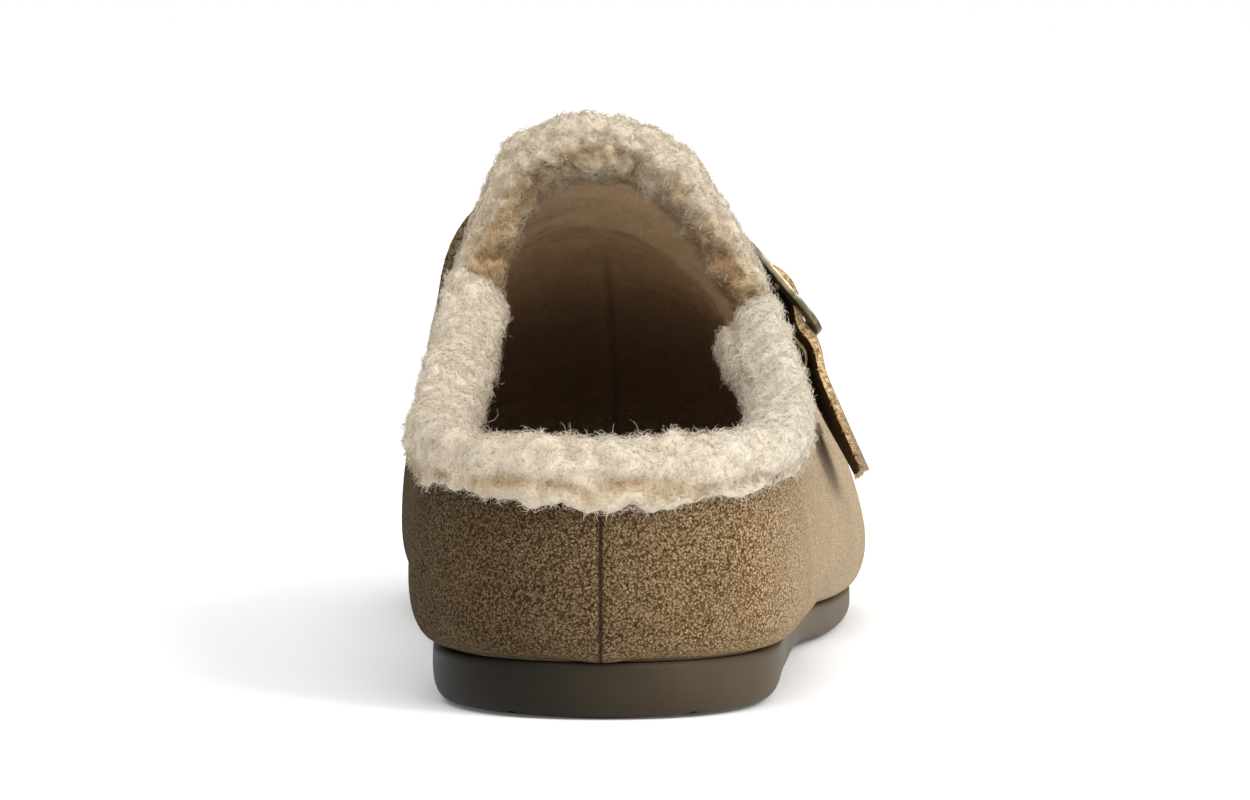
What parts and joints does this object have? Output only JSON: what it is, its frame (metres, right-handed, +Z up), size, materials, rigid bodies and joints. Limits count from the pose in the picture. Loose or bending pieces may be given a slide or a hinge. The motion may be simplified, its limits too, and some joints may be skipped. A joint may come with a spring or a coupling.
{
  "type": "fleece-lined clog",
  "caption": "Closed-toe house clog for the right foot: suede upper, rolled fleece cuffs round heel and throat, instep strap with a pin buckle, thin moulded rubber sole.",
  "frame": {"origin": "middle of the shoe's bounding box, on the floor it stands on", "axes": "+Y from heel to toe, +X to the outer (lateral) side with the buckle, +Z up"},
  "size_m": [0.095, 0.2588, 0.104],
  "materials": {
    "sole_rubber": "satin, moulded",
    "footbed": "matt felt",
    "suede": "napped suede",
    "fleece": "curly pile",
    "antique_brass": "antique, satin"
  },
  "bodies": {
    "root": {"outsole": "sole_rubber", "insole": "footbed", "upper": "suede", "heel_cuff": "fleece", "vamp_cuff": "fleece", "instep_strap": "suede", "strap_tab": "suede", "buckle_frame": "antique_brass", "buckle_prong": "antique_brass"}
  },
  "joints": []
}
